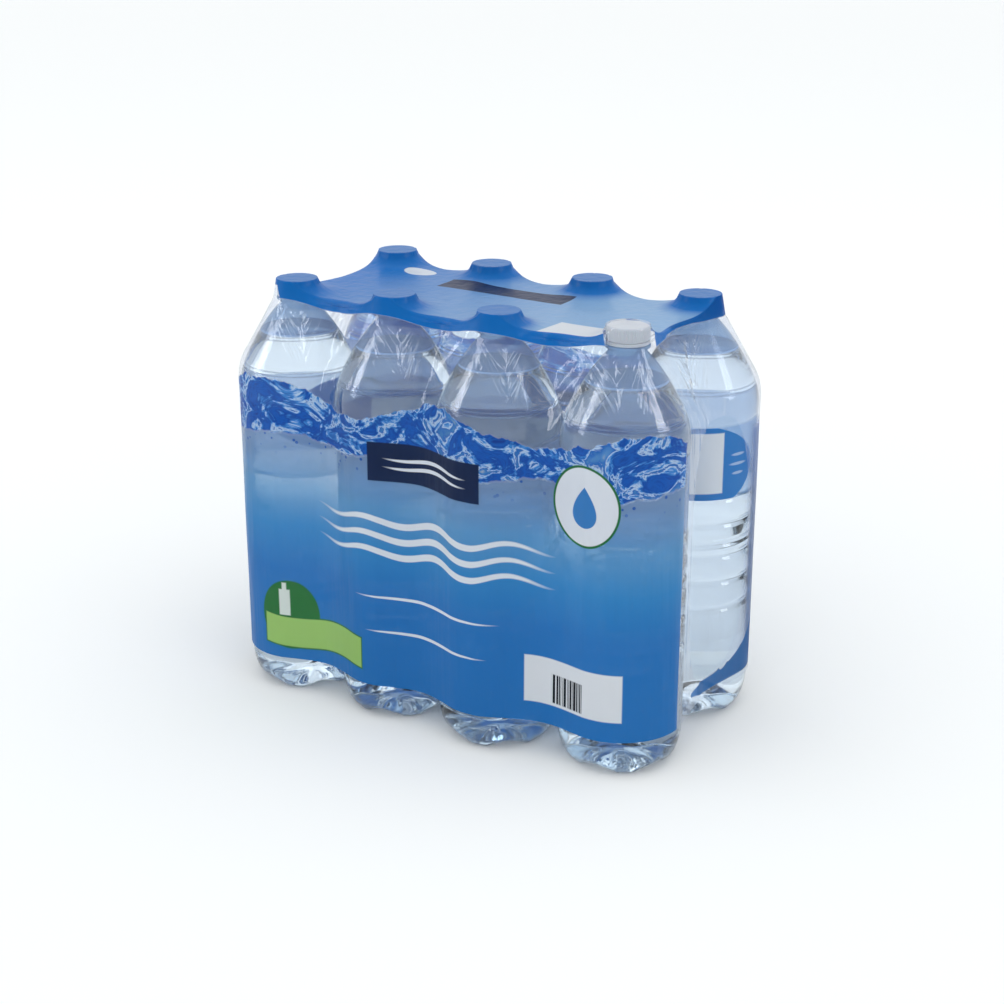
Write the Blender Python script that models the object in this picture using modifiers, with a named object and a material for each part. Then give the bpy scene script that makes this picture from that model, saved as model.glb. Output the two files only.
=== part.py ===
"""A shrink-wrapped case of eight 1.5 litre water bottles, two rows of four.

Metres, +Z up. The origin is on the floor under the middle of the case. The rows run along X and the
printed front of the wrap faces -Y. The front bottle at +X has slipped a little way into the case.
"""

import math

import bmesh
import bpy
from mathutils import Vector

# The case
COLUMNS = 4
PITCH = 0.0900  # from bottle to bottle along a row, which is also where two bottles touch
ROW_PITCH = 0.1223
SLIPPED = Vector((0.0036, 0.0151))  # how far the front bottle at +X stands from its place in the row
HEIGHT = 0.3170
BOTTLE_TURN = math.radians(31)  # from one bottle to the next, since they are packed at any angle

# A bottle, as (radius, height) down its outside
STEPS = 15  # sides of a turned piece, three for each foot of the base
FEET = 5
BODY_R = 0.04485
PANEL_R = 0.0438  # the waist that the label sits in
PANEL_LOW, PANEL_HIGH = 0.1740, 0.2310
PANEL_EDGE = 0.0012
WALL = 0.0008
GAP = 0.0003
NECK_R, BORE_R = 0.0125, 0.0108
LIP_HEIGHT = 0.3136
SUPPORT_RING = ((NECK_R, 0.3040), (0.0155, 0.3036), (0.0155, 0.3016))
SHOULDER = ((0.0134, 0.2994), (0.0235, 0.2862), (0.0335, 0.2712), (0.0420, 0.2560), (BODY_R, 0.2470))
BASE = ((0.0444, 0.0240), (0.0412, 0.0105), (0.0340, 0.0), (0.0240, 0.0), (0.0, 0.0110))
FOOT_REACH = 0.0300  # height at which the hollows between the feet have faded out
FOOT_HOLLOW = 0.0070  # how far the base is raised between two feet
FOOT_PAD = 0.5  # cosine of five times the angle from a foot's middle to its edge
FOOT_INNER_R = 0.0240
WATER_LEVEL = 0.2790
WATER_CLEAR = 0.0012  # the water's further gap above the ridged base

# Label and cap
LABEL_LOW, LABEL_HIGH = 0.1755, 0.2295
LABEL_INNER_R, LABEL_R = 0.0441, 0.0447
CAP_LOW, CAP_HIGH = 0.3050, 0.3157
CAP_R, CAP_INNER_R, CAP_ROUND, CAP_INSIDE = 0.0150, 0.0134, 0.0008, 0.3142

# The wrap, as the height, the distance from the bottles' axes and the depth of its valleys, row by row
FOLD_R, FOLD_VALLEY = 0.0165, 0.0040
WRAP_ROWS = (
    (0.3020, 0.0192, 0.0060),
    (0.2860, 0.0272, 0.0090),
    (0.2700, 0.0364, 0.0110),
    (0.2570, 0.0438, 0.0120),
    (0.2460, 0.0462, 0.0110),
    (0.2310, 0.0462, 0.0105),
    (0.0300, 0.0461, 0.0100),
)
WRAP_THICK = 0.0005
END_VALLEY = 0.6  # the valleys of the two ends beside those between neighbours in a row
SAG, SAG_R, SAG_REACH = 0.0110, 0.0150, 0.0280
CORNER_STEPS = 3  # of each half of a corner
ROW_STATIONS = (0.0, 0.14, 0.32, 0.68, 0.86)  # where the wrap is measured from one bottle to the next
END_STATIONS = (0.0, 0.135, 0.27, 0.50, 0.73, 0.865)

# The oval openings that shrinking leaves at the ends of the wrap: middle and half size in Y and Z
EYE_RIGHT = (0.0170, 0.1440, 0.0420, 0.0980)
EYE_LEFT = (0.0, 0.1440, 0.0440, 0.0980)
EYE_STEPS = 24
EYE_POWER = 2.8  # 2 is an ellipse, and more is squarer
EYE_DEPTH = 0.0400

# Colours as linear red, green and blue
CLEAR_PET, WATER_TINT = (0.80, 0.88, 0.95), (0.90, 0.96, 1.00)
LABEL_BLUE, CAP_GREY, FILM_BLUE = (0.03, 0.17, 0.49), (0.62, 0.65, 0.68), (0.07, 0.22, 0.55)
FILM_ALPHA = 0.6

MERGE = 0.0001
SHARP = math.radians(40)


def clear_scene():
    for obj in list(bpy.data.objects):
        bpy.data.objects.remove(obj, do_unlink=True)


def collection(name):
    made = bpy.data.collections.new(name)
    bpy.context.scene.collection.children.link(made)
    return made


def material(name, colour, roughness, transmission=0.0, alpha=1.0):
    made = bpy.data.materials.new(name)
    made.use_nodes = True
    shader = made.node_tree.nodes["Principled BSDF"]
    shader.inputs["Base Color"].default_value = (*colour, 1.0)
    shader.inputs["Roughness"].default_value = roughness
    shader.inputs["Metallic"].default_value = 0.0
    shader.inputs["Transmission Weight"].default_value = transmission
    shader.inputs["Alpha"].default_value = alpha
    return made


def axis_of(column, row):
    """Where the axis of a bottle stands: row 0 is the front and row 1 the back."""
    x = (column - (COLUMNS - 1) / 2) * PITCH - SLIPPED.x / 2
    place = Vector((x, (row - 0.5) * ROW_PITCH))
    if (column, row) == (COLUMNS - 1, 0):
        place += SLIPPED
    return place


def hollow_between_feet(point):
    """How far the base is raised at this point: nothing on a foot, most between two feet."""
    radius = math.hypot(point.x, point.y)
    if point.z >= FOOT_REACH or radius == 0:
        return 0.0
    first_foot = math.pi / STEPS
    turn = math.cos(FEET * (math.atan2(point.y, point.x) - first_foot))
    between = min(max((FOOT_PAD - turn) / (1 + FOOT_PAD), 0), 1)
    return FOOT_HOLLOW * between * (1 - point.z / FOOT_REACH) * min(1, radius / FOOT_INNER_R)


def turned_mesh(name, profile):
    """The mesh of a profile turned about Z. It runs up the inside, if there is one, and down the outside."""
    outline = bpy.data.meshes.new(name)
    points = [(radius, 0, height) for radius, height in profile]
    outline.from_pydata(points, [(i, i + 1) for i in range(len(points) - 1)], [])
    obj = bpy.data.objects.new(name, outline)
    bpy.context.scene.collection.objects.link(obj)
    screw = obj.modifiers.new("Turn", "SCREW")
    screw.steps = screw.render_steps = STEPS
    screw.use_merge_vertices = True
    screw.merge_threshold = MERGE
    graph = bpy.context.evaluated_depsgraph_get()
    mesh = bpy.data.meshes.new_from_object(obj.evaluated_get(graph))
    bpy.data.objects.remove(obj)
    for vertex in mesh.vertices:
        vertex.co.z += hollow_between_feet(vertex.co)
    mesh.shade_smooth()
    mesh.set_sharp_from_angle(angle=SHARP)
    return mesh


def inset(profile, distance):
    """The profile moved inwards by a distance, mitred at its points."""
    points = [Vector(point) for point in profile]
    moved = []
    for i, point in enumerate(points):
        before = points[max(i - 1, 0)]
        after = points[min(i + 1, len(points) - 1)]
        normals = []
        for start, end in ((before, point), (point, after)):
            along = end - start
            if along.length > 0:
                normals.append(Vector((along.y, -along.x)).normalized())
        middle = sum(normals, Vector((0, 0))) / len(normals)
        moved.append(point + middle * distance / middle.length_squared)
    moved[-1].x = 0
    return [tuple(point) for point in moved]


def bottle_profile():
    inside = [(min(r, PANEL_R - WALL), z) for r, z in inset(SHOULDER + BASE, WALL)]
    inside[0] = (BORE_R, SHOULDER[0][1])
    panel = (
        (BODY_R, PANEL_HIGH),
        (PANEL_R, PANEL_HIGH - PANEL_EDGE),
        (PANEL_R, PANEL_LOW + PANEL_EDGE),
        (BODY_R, PANEL_LOW),
    )
    lip = ((BORE_R, LIP_HEIGHT), (NECK_R, LIP_HEIGHT))
    return [*reversed(inside), *lip, *SUPPORT_RING, *SHOULDER, *panel, *BASE]


def water_profile():
    """What fills a bottle up to its level, a gap inside the wall."""
    inside = [
        (min(r, PANEL_R - WALL - GAP), z + (WATER_CLEAR if z < FOOT_REACH else 0))
        for r, z in inset(SHOULDER + BASE, WALL + GAP)
    ]
    above = [point for point in inside if point[1] >= WATER_LEVEL][-1]
    below = [point for point in inside if point[1] < WATER_LEVEL]
    part = (above[1] - WATER_LEVEL) / (above[1] - below[0][1])
    radius = above[0] + (below[0][0] - above[0]) * part
    return [(0, WATER_LEVEL), (radius, WATER_LEVEL), *below]


def label_profile():
    return [
        (LABEL_INNER_R, LABEL_LOW),
        (LABEL_INNER_R, LABEL_HIGH),
        (LABEL_R, LABEL_HIGH),
        (LABEL_R, LABEL_LOW),
        (LABEL_INNER_R, LABEL_LOW),
    ]


def cap_profile():
    return [
        (0, CAP_INSIDE),
        (CAP_INNER_R, CAP_INSIDE),
        (CAP_INNER_R, CAP_LOW),
        (CAP_R, CAP_LOW),
        (CAP_R, CAP_HIGH - CAP_ROUND),
        (CAP_R - CAP_ROUND, CAP_HIGH),
        (0, CAP_HIGH),
    ]


def closed(mesh):
    """Welds a turned mesh's seam, turns its faces outwards and splits them the same way on every wall."""
    work = bmesh.new()
    work.from_mesh(mesh)
    bmesh.ops.remove_doubles(work, verts=work.verts, dist=MERGE / 2)
    bmesh.ops.recalc_face_normals(work, faces=work.faces)
    bmesh.ops.triangulate(work, faces=work.faces, quad_method="SHORT_EDGE")
    work.to_mesh(mesh)
    work.free()
    return mesh


def add_bottles(parts):
    kinds = {
        "bottle": (bottle_profile(), material("clear_pet", CLEAR_PET, roughness=0.05, transmission=0.9)),
        "water": (water_profile(), material("water", WATER_TINT, roughness=0.0, transmission=1.0)),
        "label": (label_profile(), material("label_film", LABEL_BLUE, roughness=0.35)),
        "cap": (cap_profile(), material("cap_plastic", CAP_GREY, roughness=0.40)),
    }
    for kind, (profile, finish) in kinds.items():
        mesh = closed(turned_mesh(kind, profile))
        mesh.materials.append(finish)
        for row, side in enumerate(("front", "back")):
            for column in range(COLUMNS):
                obj = bpy.data.objects.new(f"{kind}_{side}_{column + 1}", mesh)
                obj.location = (*axis_of(column, row), 0)
                obj.rotation_euler.z = BOTTLE_TURN * (column + COLUMNS * row)
                parts.objects.link(obj)


def stations():
    """The wrap's four sides as lists of (axis point, outward direction, valley share).

    Each runs from one corner's middle to the next, anticlockwise seen from above: front, right end,
    back, left end.
    """
    rows = [[axis_of(column, row) for column in range(COLUMNS)] for row in (0, 1)]
    rails = [rows[0], [rows[0][-1], rows[1][-1]], rows[1][::-1], [rows[1][0], rows[0][0]]]

    def facing(start, end):
        along = (end - start).normalized()
        return Vector((along.y, -along.x))

    sides = []
    for number, rail in enumerate(rails):
        marks = ROW_STATIONS if number % 2 == 0 else END_STATIONS
        share = 1.0 if number % 2 == 0 else END_VALLEY
        last_side, next_side = rails[number - 1], rails[(number + 1) % 4]
        first, last = facing(rail[0], rail[1]), facing(rail[-2], rail[-1])
        corner_in = (facing(last_side[-2], last_side[-1]) + first).normalized()
        corner_out = (last + facing(next_side[0], next_side[1])).normalized()
        side = [(rail[0], corner_in.slerp(first, i / CORNER_STEPS), 0.0) for i in range(CORNER_STEPS)]
        for start, end in zip(rail, rail[1:]):
            for mark in marks:
                valley = share * math.sin(math.pi * mark) ** 2
                side.append((start.lerp(end, mark), facing(start, end), valley))
        side += [(rail[-1], last.slerp(corner_out, i / CORNER_STEPS), 0.0) for i in range(CORNER_STEPS + 1)]
        sides.append(side)
    return sides


def canopy_height(point):
    """The top of the wrap: flat on each cap and sagging between them."""
    nearest = min((point - axis_of(column, row)).length for column in range(COLUMNS) for row in (0, 1))
    reach = max(nearest - SAG_R, 0) / SAG_REACH
    return HEIGHT - SAG * (1 - math.exp(-reach * reach))


def edge_point(station, radius, valley):
    axis, outwards, share = station
    return axis + outwards * (radius - valley * share)


def canopy_point(sides, across, along):
    """A point of the top inside the fold, blended from the fold's four sides (a Coons patch)."""
    front, right, back, left = sides
    u, v = across / (len(front) - 1), along / (len(right) - 1)
    near, far = front[across], back[len(back) - 1 - across]
    low, high = left[len(left) - 1 - along], right[along]
    corners = (
        front[0] * (1 - u) * (1 - v) + front[-1] * u * (1 - v) + back[-1] * (1 - u) * v + back[0] * u * v
    )
    return near * (1 - v) + far * v + low * (1 - u) + high * u - corners


def wrap_mesh():
    """The wrap as one open sheet: its walls from the hem up to the fold, and its top."""
    work = bmesh.new()
    sides = stations()
    fold = [[edge_point(s, FOLD_R, FOLD_VALLEY) for s in side] for side in sides]
    ring = [s for side in sides for s in side[:-1]]
    top_ring = [work.verts.new((*p, canopy_height(p))) for side in fold for p in side[:-1]]
    above = top_ring
    for height, radius, valley in WRAP_ROWS:
        row = [work.verts.new((*edge_point(s, radius, valley), height)) for s in ring]
        for i in range(len(ring)):
            j = (i + 1) % len(ring)
            work.faces.new((above[i], row[i], row[j], above[j]))
        above = row

    wide, deep = len(fold[0]) - 1, len(fold[1]) - 1
    starts = [0, wide, wide + deep, 2 * wide + deep]

    def canopy_vertex(across, along):
        if along == 0:
            return top_ring[across]
        if across == wide:
            return top_ring[(starts[1] + along) % len(top_ring)]
        if along == deep:
            return top_ring[(starts[2] + wide - across) % len(top_ring)]
        if across == 0:
            return top_ring[(starts[3] + deep - along) % len(top_ring)]
        point = canopy_point(fold, across, along)
        return work.verts.new((*point, canopy_height(point)))

    grid = [[canopy_vertex(i, j) for j in range(deep + 1)] for i in range(wide + 1)]
    for i in range(wide):
        for j in range(deep):
            work.faces.new((grid[i][j], grid[i + 1][j], grid[i + 1][j + 1], grid[i][j + 1]))
    bmesh.ops.recalc_face_normals(work, faces=work.faces)
    mesh = bpy.data.meshes.new("wrap")
    work.to_mesh(mesh)
    work.free()
    return mesh


def eye_cutter(name, cutters, x, eye):
    """A rod along X whose section is the oval opening at one end of the wrap."""
    middle_y, middle_z, half_y, half_z = eye
    bpy.ops.mesh.primitive_cylinder_add(
        vertices=EYE_STEPS,
        radius=1,
        depth=EYE_DEPTH,
        rotation=(0, math.pi / 2, 0),
    )
    rod = bpy.context.object
    bpy.ops.object.transform_apply(location=False, rotation=True, scale=False)
    rod.name = name
    for vertex in rod.data.vertices:
        turn = math.atan2(vertex.co.z, vertex.co.y)
        across, up = math.cos(turn), math.sin(turn)
        vertex.co.y = middle_y + half_y * math.copysign(abs(across) ** (2 / EYE_POWER), across)
        vertex.co.z = middle_z + half_z * math.copysign(abs(up) ** (2 / EYE_POWER), up)
    rod.location.x = x
    rod.hide_render = True
    rod.display_type = "WIRE"
    for owner in list(rod.users_collection):
        owner.objects.unlink(rod)
    cutters.objects.link(rod)
    return rod


def add_wrap(parts, cutters):
    mesh = wrap_mesh()
    mesh.materials.append(material("shrink_film", FILM_BLUE, roughness=0.25, alpha=FILM_ALPHA))
    wrap = bpy.data.objects.new("wrap", mesh)
    parts.objects.link(wrap)
    thicken = wrap.modifiers.new("Thickness", "SOLIDIFY")
    thicken.thickness = WRAP_THICK
    thicken.offset = -1
    thicken.use_even_offset = True
    right = axis_of(COLUMNS - 1, 0).x + BODY_R
    left = axis_of(0, 0).x - BODY_R
    for name, x, eye in (("eye_right", right, EYE_RIGHT), ("eye_left", left, EYE_LEFT)):
        cut = wrap.modifiers.new(name, "BOOLEAN")
        cut.operation = "DIFFERENCE"
        cut.solver = "EXACT"
        cut.object = eye_cutter(name, cutters, x, eye)
    return wrap


def main():
    clear_scene()
    parts = collection("case_of_water_bottles")
    cutters = collection("cutters")
    add_bottles(parts)
    add_wrap(parts, cutters)


main()
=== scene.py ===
"""The looks of a shrink-wrapped case of eight 1.5 litre water bottles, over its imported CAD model."""

import math
from functools import partial

import bpy
from bpy.props import FloatProperty, FloatVectorProperty, IntProperty, PointerProperty
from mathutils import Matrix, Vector, noise


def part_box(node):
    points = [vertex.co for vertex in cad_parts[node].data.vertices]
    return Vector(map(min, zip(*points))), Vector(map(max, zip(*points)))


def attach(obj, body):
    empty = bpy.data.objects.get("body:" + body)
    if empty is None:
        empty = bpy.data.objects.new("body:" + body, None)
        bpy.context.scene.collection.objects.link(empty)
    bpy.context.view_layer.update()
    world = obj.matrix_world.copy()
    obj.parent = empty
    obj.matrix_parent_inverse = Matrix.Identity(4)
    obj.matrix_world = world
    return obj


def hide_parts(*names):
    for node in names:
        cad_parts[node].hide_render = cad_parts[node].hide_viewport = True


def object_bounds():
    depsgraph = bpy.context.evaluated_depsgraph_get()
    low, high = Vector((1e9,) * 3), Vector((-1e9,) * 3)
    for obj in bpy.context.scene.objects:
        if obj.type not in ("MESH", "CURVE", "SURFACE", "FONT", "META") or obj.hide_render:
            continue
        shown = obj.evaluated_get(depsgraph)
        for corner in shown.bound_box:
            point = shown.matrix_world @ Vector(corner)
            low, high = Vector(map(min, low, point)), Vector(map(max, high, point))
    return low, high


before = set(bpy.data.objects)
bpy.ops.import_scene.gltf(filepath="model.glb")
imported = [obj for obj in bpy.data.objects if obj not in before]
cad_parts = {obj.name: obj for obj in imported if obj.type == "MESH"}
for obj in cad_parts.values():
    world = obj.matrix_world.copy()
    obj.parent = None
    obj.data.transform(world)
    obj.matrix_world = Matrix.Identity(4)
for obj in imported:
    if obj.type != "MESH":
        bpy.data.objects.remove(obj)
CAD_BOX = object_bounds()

bl_info = {
    "name": "Case of water bottles",
    "version": (1, 0, 0),
    "blender": (4, 5, 0),
    "location": "3D View > Sidebar > Bottle case",
    "description": "Models and finishes a shrink-wrapped case of eight water bottles",
    "category": "Add Mesh",
}

# Where the bottles stand, as in the CAD model
COLUMNS = 4
PITCH = 0.0900
ROW_PITCH = 0.1223
SLIPPED = Vector((0.0036, 0.0151))
BOTTLE_TURN = math.radians(31)
SIDES = ("front", "back")
FLOOR_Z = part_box("bottle_front_1")[0].z
CASE_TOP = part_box("wrap")[1].z

# The bottle's outline as (radius, height), from the lip down
NECK = (
    (0.0125, 0.3136), (0.0125, 0.3044), (0.0132, 0.3038), (0.0152, 0.3036), (0.0155, 0.3032),
    (0.0155, 0.3020), (0.0151, 0.3016), (0.0134, 0.3012), (0.0131, 0.2998),
)
SHOULDER = (
    (0.0136, 0.2984), (0.0155, 0.2962), (0.0193, 0.2920), (0.0234, 0.2866), (0.0272, 0.2812),
    (0.0306, 0.2757), (0.0339, 0.2700), (0.0369, 0.2645), (0.0393, 0.2594), (0.0403, 0.2570),
)
SHOULDER_RINGS, SHOULDER_SLOPE = ((0.0413, 0.2547), (0.0422, 0.2521)), 0.36
RING_DEPTH, RING_HALF = 0.0008, 0.0009
BODY_TOP = ((0.0430, 0.2496), (0.0437, 0.2470), (0.0442, 0.2443), (0.0446, 0.2414), (0.0448, 0.2385))
PANEL_HIGH, PANEL_LOW = 0.2322, 0.1728
PANEL_R = 0.0438
RIBS, RIB_HALF = (0.1570, 0.1420, 0.1320, 0.1120, 0.0910), 0.0042
LOW_RING = 0.0660
BASE = (
    (0.04485, 0.0300), (0.0446, 0.0240), (0.0439, 0.0185), (0.0428, 0.0135), (0.0412, 0.0090),
    (0.0390, 0.0055), (0.0364, 0.0026), (0.0336, 0.0007), (0.0310, 0.0), (0.0285, 0.0),
    (0.0256, 0.0005), (0.0222, 0.0024), (0.0180, 0.0048), (0.0132, 0.0075), (0.0085, 0.0095),
    (0.0040, 0.0107), (0.0, 0.0110),
)
FEET, PETALS = 5, 15  # the feet, and the fine lobes between them
FOOT_REACH, FOOT_PAD = 0.0300, 0.30
SPIN_STEPS = 100
MERGE = 0.00002
SURFACE_PAINTED_REFLECTION = 0.40  # how much of the water's surface is a matt pale blue share, a painted reflection of the print over it
DAMP_AND_SHADE_SHARE = 0.13  # how much of the wall over the water is covered by matt pale blue drops: damp, with a painted blue shade from the print over the shoulders
TAMPER_RING, CAP_WALL = 0.0026, 0.0016
RIB_STEPS, GRIP_DEPTH = 4, 0.00035

# The wrap, as (height, distance from the bottles' axes, depth of its valleys), down from the caps
WRAP_ROWS = (
    (0.3020, 0.0182, 0.0108),
    (0.2860, 0.0272, 0.0145),
    (0.2700, 0.0364, 0.0165),
    (0.2570, 0.0436, 0.0155),
    (0.2460, 0.0460, 0.0130),
    (0.2310, 0.0460, 0.0110),
    (0.0300, 0.0459, 0.0100),
)
FOLD_R, FOLD_VALLEY = 0.0156, 0.0100
DISC_R, SKIRT_R, SKIRT_DROP = 0.0150, 0.0159, 0.0034  # the film on a cap, and how it closes round its edge
SAG_REACH = 0.0062  # how soon the top falls away from a cap
RIM_NEAR, SKIRT_NEAR = 0.0007, 0.0019  # the top's vertices that move onto a cap's edge, and the next ones
FOLD_SOFT, SOFT_LOSS, END_SOFT = 0.010, 0.006, 0.012  # how softly the film turns in its valleys
TENSION, LIFT = 0.0030, 0.0002  # height of the folds beside the caps, and the most that any fold stands out
FAN_TOP, FOLD_HEIGHT, LINE_HEIGHT = 0.330, 4.6, 0.8  # where the folds' lines meet, and heights in the bump
GIRTH_WALL = (0.0460, 0.0110, 0.015)  # where the print is measured round the case
THIN_SHARE = 0.4  # the film's thickness away from its edges
END_VALLEY = 0.6  # the depth of the valley in each end, against those along the rows
# The openings in the right end and the left one: middle and half size, along Y and up
EYES = {1: (0.0170, 0.1440, 0.0420, 0.0980), 3: (0.0, 0.1440, 0.0440, 0.0980)}
EYE_POWER = 2.8
ROW_STEPS, END_STEPS, CORNER_STEPS = 36, 44, 12  # between two bottles, and round a corner
FOLD_STEPS, ROUND_STEPS = 9, 4
FINE_STEP, COARSE_STEP, FINE_LOW, HEM_GAP = 0.0020, 0.0050, 0.2405, 0.001
PRINT_EDGE = 0.2125  # from the middle of the front, round the corner to the print's end
BARE_LOW, BARE_HIGH = 0.2580, 0.2980  # no print reaches between these heights
BACK_SHIFT = 0.0850  # half of how much less the back's print reaches towards +X
EYE_LOW, PRINT_BACK = 0.065, 0.058  # the ends are bare over this height, and up to this far back


def linear(hexadecimal):
    """An sRGB hex colour as linear red, green, blue and alpha."""
    parts = [int(hexadecimal[i:i + 2], 16) / 255 for i in (1, 3, 5)]
    return (*[p / 12.92 if p <= 0.04045 else ((p + 0.055) / 1.055) ** 2.4 for p in parts], 1.0)


def smooth(value):
    value = min(max(value, 0.0), 1.0)
    return value * value * (3 - 2 * value)


def axis_of(column, row):
    """Where the axis of a bottle stands: row 0 is the front and row 1 the back."""
    x = (column - (COLUMNS - 1) / 2) * PITCH - SLIPPED.x / 2
    place = Vector((x, (row - 0.5) * ROW_PITCH))
    return place + SLIPPED if (column, row) == (COLUMNS - 1, 0) else place


AXES = {
    f"{side}_{column + 1}": axis_of(column, row) for row, side in enumerate(SIDES) for column in range(COLUMNS)}


METRES = {"unit": "LENGTH", "precision": 5}
COLOUR = {"subtype": "COLOR", "min": 0, "max": 1}


class BottleSettings(bpy.types.PropertyGroup):
    body_radius: FloatProperty(
        name="Body radius", description="Radius of the bottle's body", default=0.04485, **METRES)
    wall: FloatProperty(
        name="Wall", description="Thickness of the blown wall, a little more than real so that it shows",
        default=0.0004, **METRES)
    rib_depth: FloatProperty(
        name="Rib depth", description="Depth of the grooves round the body", default=0.0017, **METRES)
    foot_hollow: FloatProperty(
        name="Foot hollow", description="How far the base is raised between two feet", default=0.0080, **METRES)
    water_level: FloatProperty(
        name="Water level", description="Height of the water above the floor", default=0.2790, **METRES)
    tint: FloatVectorProperty(
        name="PET tint", description="Colour that the clear wall lets through",
        default=linear("#fcfeff")[:3], **COLOUR)
    # damp with a painted blue shade: the print over the shoulders makes the wall over the water darker and bluer
    damp_and_shade_tint: FloatVectorProperty(
        name="Damp tint", description="Colour that the damp wall over the water lets through",
        default=linear("#dbe8f2")[:3], **COLOUR)
    water: FloatVectorProperty(
        name="Water colour", description="Colour of the water", default=linear("#f1f7fd")[:3], **COLOUR)
    # painted reflection: the blue of the print over the water, given as the surface's colour
    surface: FloatVectorProperty(
        name="Water surface", description="Colour of the water's surface, blue from the print over it",
        default=linear("#a9bedc")[:3], **COLOUR)


class LabelSettings(bpy.types.PropertyGroup):
    low: FloatProperty(name="Low edge", description="Height of the label's low edge", default=0.1755, **METRES)
    high: FloatProperty(
        name="High edge", description="Height of the label's high edge", default=0.2295, **METRES)
    radius: FloatProperty(
        name="Radius", description="Radius of the label round the bottle", default=0.0441, **METRES)
    thickness: FloatProperty(
        name="Thickness", description="Thickness of the label film", default=0.00012, **METRES)
    panel_turn: FloatProperty(
        name="Panel turn", description="Angle of the white panel's right edge on the first bottle",
        default=math.radians(108.6), subtype="ANGLE")
    blue: FloatVectorProperty(
        name="Blue", description="The label's deep blue", default=linear("#2482cf")[:3], **COLOUR)
    white: FloatVectorProperty(
        name="White", description="The label's panel", default=linear("#f2f5f8")[:3], **COLOUR)
    inside: FloatVectorProperty(
        name="Inside", description="The label's inner face", default=linear("#c6e0fb")[:3], **COLOUR)


class CapSettings(bpy.types.PropertyGroup):
    radius: FloatProperty(name="Radius", description="Radius over the grip ribs", default=0.0150, **METRES)
    high: FloatProperty(name="Top", description="Height of the cap's top", default=0.3163, **METRES)
    low: FloatProperty(name="Bottom", description="Height of the tamper ring's edge", default=0.3042, **METRES)
    ribs: IntProperty(
        name="Grip ribs", description="Number of grip ribs, half the real number so that they show",
        default=60, min=12, max=120)
    colour: FloatVectorProperty(
        name="Colour", description="Colour of the moulded cap", default=linear("#bcc2c8")[:3], **COLOUR)


class WrapSettings(bpy.types.PropertyGroup):
    thickness: FloatProperty(
        name="Rim thickness", description="Thickness of the film's shrunk edges; the rest is thinner",
        default=0.0005, **METRES)
    sag: FloatProperty(
        name="Sag", description="How far the top sags between the caps", default=0.0112, **METRES)
    ripple: FloatProperty(
        name="Ripple", description="Height of the film's soft ripples", default=0.00035, **METRES)
    deep_blue: FloatVectorProperty(
        name="Deep blue", description="The print low on the sides", default=linear("#287bc6")[:3], **COLOUR)
    top_blue: FloatVectorProperty(
        name="Top blue", description="The print over the caps", default=linear("#0873c6")[:3], **COLOUR)
    mist: FloatVectorProperty(
        name="Mist blue", description="The thin print under the waves", default=linear("#83a4ca")[:3], **COLOUR)
    leaf: FloatVectorProperty(
        name="Leaf green", description="The ribbon's green", default=linear("#a8d474")[:3], **COLOUR)
    moss: FloatVectorProperty(
        name="Moss green", description="The dome's green", default=linear("#2f7a3c")[:3], **COLOUR)


class StageSettings(bpy.types.PropertyGroup):
    floor_radius: FloatProperty(
        name="Floor radius", description="Radius of the pale floor", default=24.0, unit="LENGTH")
    floor: FloatVectorProperty(
        name="Floor colour", description="Colour of the plain floor", default=linear("#fafcfc")[:3], **COLOUR)
    light: FloatProperty(
        name="Light", description="Strength of the soft light from all round", default=1.0, min=0)


# ---------------------------------------------------------------------------------- modelling


def select_only(obj):
    bpy.ops.object.select_all(action="DESELECT")
    obj.select_set(True)
    bpy.context.view_layer.objects.active = obj


def edit_all():
    """Goes into edit mode with the whole of the active mesh selected."""
    bpy.ops.object.mode_set(mode="EDIT")
    bpy.ops.mesh.select_all(action="SELECT")


def close_up():
    """Merges what lies double, points the faces outwards and leaves edit mode."""
    bpy.ops.mesh.select_all(action="SELECT")
    bpy.ops.mesh.remove_doubles(threshold=MERGE)
    bpy.ops.mesh.normals_make_consistent(inside=False)
    bpy.ops.object.mode_set(mode="OBJECT")


def on_faces(obj, wanted, tool, **options):
    """Selects the faces that a test picks, and uses a tool on them in edit mode."""
    select_only(obj)
    bpy.ops.object.mode_set(mode="EDIT")
    bpy.ops.mesh.select_mode(type="FACE")
    bpy.ops.mesh.select_all(action="DESELECT")
    bpy.ops.object.mode_set(mode="OBJECT")
    for face in obj.data.polygons:
        face.select = wanted(face)
    bpy.ops.object.mode_set(mode="EDIT")
    tool(**options)
    bpy.ops.mesh.select_mode(type="VERT")
    bpy.ops.object.mode_set(mode="OBJECT")


def thicken(obj, thickness, **options):
    """Gives a skin its thickness."""
    modifier = obj.modifiers.new("Thickness", "SOLIDIFY")
    modifier.thickness = thickness
    for name, value in options.items():
        setattr(modifier, name, value)
    select_only(obj)
    bpy.ops.object.modifier_apply(modifier=modifier.name)


def turned(name, outline, steps):
    """A piece turned about Z as on a lathe: a point is extruded along the outline, which is then spun."""
    bpy.ops.object.select_all(action="DESELECT")
    bpy.ops.mesh.primitive_plane_add(size=0.001)
    obj = bpy.context.object
    obj.name = obj.data.name = name
    bpy.ops.object.mode_set(mode="EDIT")
    bpy.ops.mesh.select_mode(type="VERT")
    bpy.ops.mesh.merge(type="CENTER")
    radius, height = outline[0]
    bpy.ops.transform.translate(value=(radius, 0, height))
    for (r0, z0), (r1, z1) in zip(outline, outline[1:]):
        bpy.ops.mesh.extrude_region_move(TRANSFORM_OT_translate={"value": (r1 - r0, 0, z1 - z0)})
    bpy.ops.mesh.select_all(action="SELECT")
    bpy.ops.mesh.spin(steps=steps, angle=math.tau, center=(0, 0, 0), axis=(0, 0, 1))
    close_up()
    return obj


def copy_of(obj, name):
    made = obj.copy()
    made.data = obj.data.copy()
    made.name = made.data.name = name
    bpy.context.scene.collection.objects.link(made)
    return made


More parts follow.
